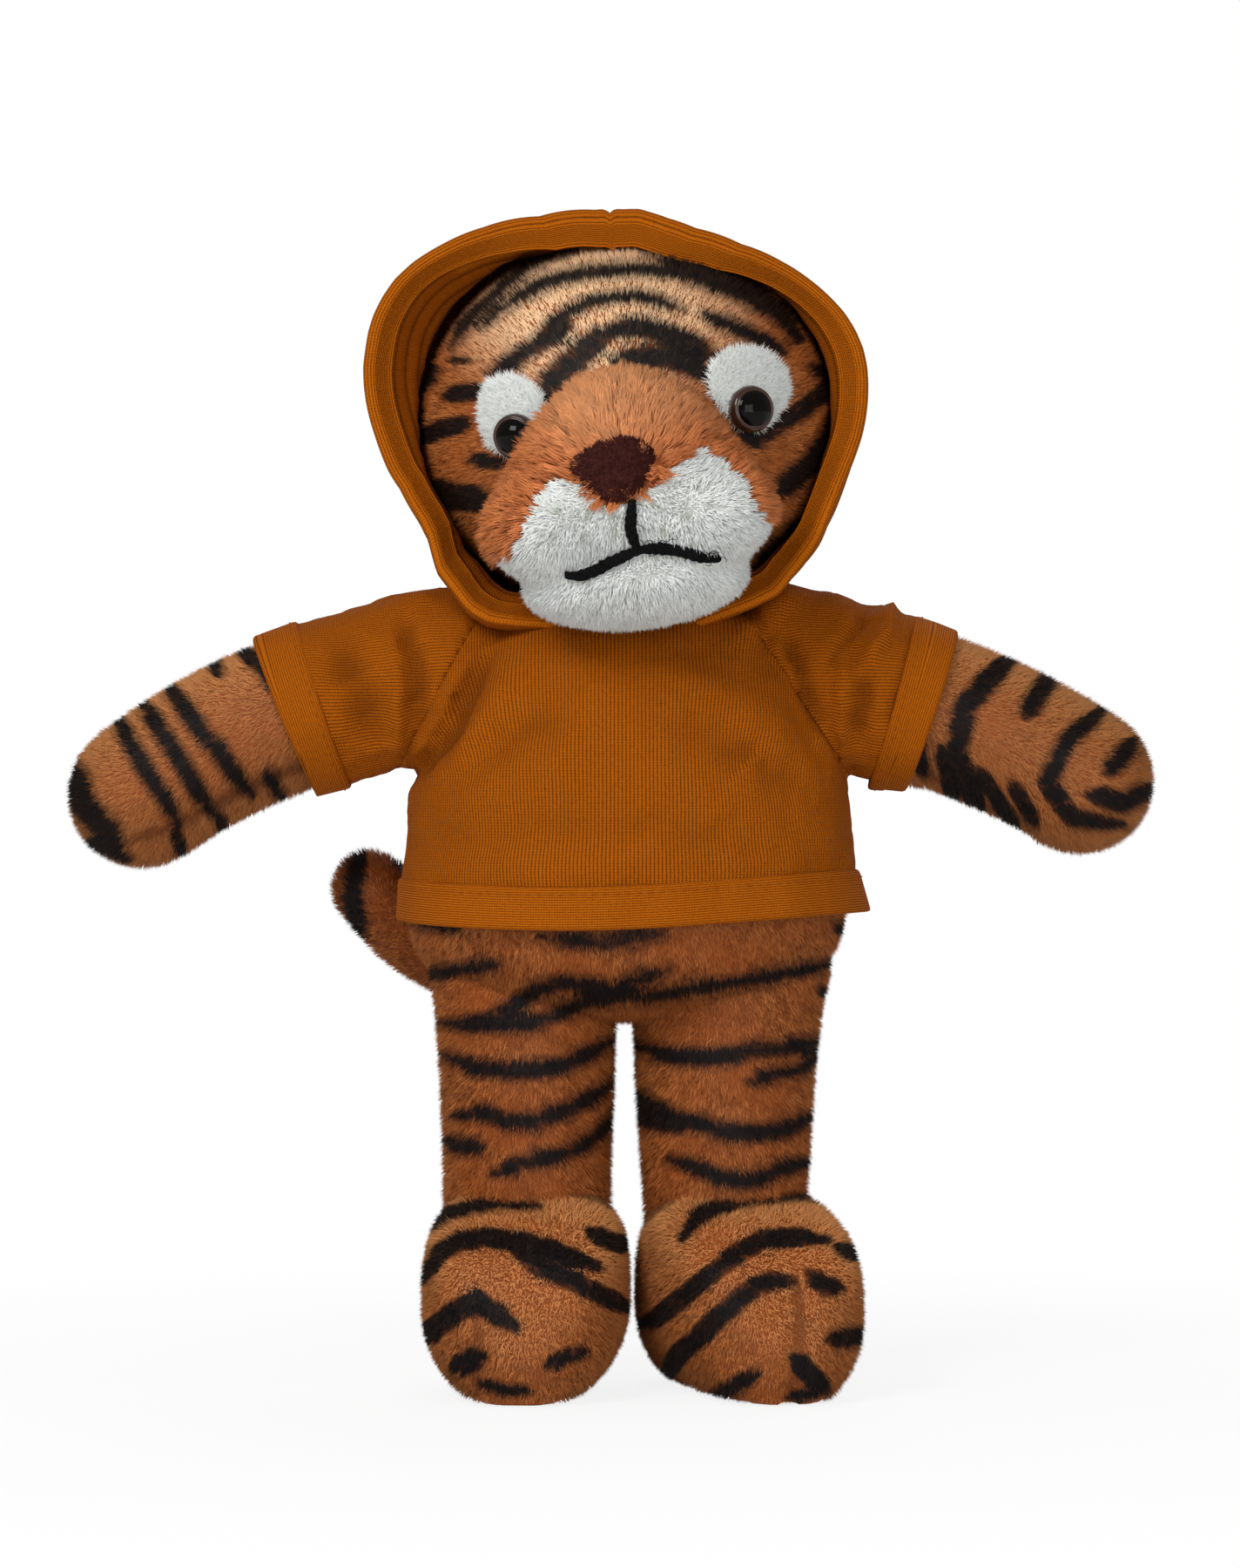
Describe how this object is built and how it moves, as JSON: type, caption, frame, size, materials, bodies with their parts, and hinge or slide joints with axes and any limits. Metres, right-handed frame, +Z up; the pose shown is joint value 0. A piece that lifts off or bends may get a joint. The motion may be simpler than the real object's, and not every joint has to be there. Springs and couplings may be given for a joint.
{
  "type": "plush tiger toy",
  "caption": "Stuffed toy tiger with striped plush fur, standing on flat soles with its arms held out, in a hooded T-shirt. Its head, arms, legs, tail and hood move.",
  "frame": {"origin": "middle of the outline's footprint, on the plane the soles stand on", "axes": "+Z up through the toy's height, +Y towards its back, so that the toy faces -Y and its left is +X"},
  "size_m": [0.2866, 0.1517, 0.3092],
  "materials": {
    "tan_fur": "short plush with black stripes",
    "orange_pile": "long clumped pile",
    "white_pile": "white plush",
    "brown_velour": "flat velour",
    "black_yarn": "stitched yarn",
    "orange_knit": "cotton jersey",
    "eye_plastic": "gloss",
    "washer_plastic": "matte"
  },
  "bodies": {
    "torso": {"torso": "tan_fur", "collar_band": "orange_knit", "shirt_front": "orange_knit", "shirt_back": "orange_knit", "hem_band": "orange_knit"},
    "head": {"head": "tan_fur", "muzzle": "orange_pile", "chin": "white_pile", "cheek_left": "white_pile", "cheek_right": "white_pile", "nose": "brown_velour", "mouth_yarn": "black_yarn", "eye_patch_left": "white_pile", "eye_patch_right": "white_pile", "eye_left": "eye_plastic", "eye_right": "eye_plastic", "eye_washer_left": "washer_plastic", "eye_washer_right": "washer_plastic", "ear_left": "tan_fur", "ear_right": "tan_fur"},
    "hood": {"hood_panel_left": "orange_knit", "hood_panel_right": "orange_knit", "hood_rim": "orange_knit"},
    "arm_left": {"arm_left": "tan_fur", "sleeve_left": "orange_knit", "cuff_left": "orange_knit"},
    "arm_right": {"arm_right": "tan_fur", "sleeve_right": "orange_knit", "cuff_right": "orange_knit"},
    "leg_left": {"leg_left": "tan_fur", "foot_left": "tan_fur", "sole_left": "tan_fur"},
    "leg_right": {"leg_right": "tan_fur", "foot_right": "tan_fur", "sole_right": "tan_fur"},
    "tail": {"tail": "tan_fur"}
  },
  "joints": [
    {"name": "head_turn", "type": "hinge", "parent": "torso", "child": "head", "pos_m": [0.0035, 0.0055, 0.2143], "axis": [0, 0, 1], "range_deg": [-25, 25], "stiffness_Nm_per_rad": 0.3},
    {"name": "hood_back", "type": "hinge", "parent": "torso", "child": "hood", "pos_m": [0.0035, 0.04735, 0.2056], "axis": [-1, 0, 0], "range_deg": [0, 80], "deforming": ["hood_panel_left", "hood_panel_right", "hood_rim"]},
    {"name": "arm_left_raise", "type": "hinge", "parent": "torso", "child": "arm_left", "pos_m": [0.0495, 0.0055, 0.1864], "axis": [0, -1, 0], "range_deg": [-8, 55], "stiffness_Nm_per_rad": 0.3, "deforming": ["sleeve_left", "cuff_left"]},
    {"name": "arm_right_raise", "type": "hinge", "parent": "torso", "child": "arm_right", "pos_m": [-0.0425, 0.0055, 0.1864], "axis": [0, 1, 0], "range_deg": [-8, 55], "stiffness_Nm_per_rad": 0.3, "deforming": ["sleeve_right", "cuff_right"]},
    {"name": "leg_left_swing", "type": "hinge", "parent": "torso", "child": "leg_left", "pos_m": [0.0297, 0.0055, 0.108], "axis": [-1, 0, 0], "range_deg": [-15, 65], "stiffness_Nm_per_rad": 2.5},
    {"name": "leg_right_swing", "type": "hinge", "parent": "torso", "child": "leg_right", "pos_m": [-0.0227, 0.0055, 0.108], "axis": [-1, 0, 0], "range_deg": [-15, 65], "stiffness_Nm_per_rad": 2.5},
    {"name": "tail_wag", "type": "hinge", "parent": "torso", "child": "tail", "pos_m": [0.0035, 0.0495, 0.109], "axis": [0, 0, -1], "range_deg": [0, 95], "stiffness_Nm_per_rad": 0.05}
  ]
}
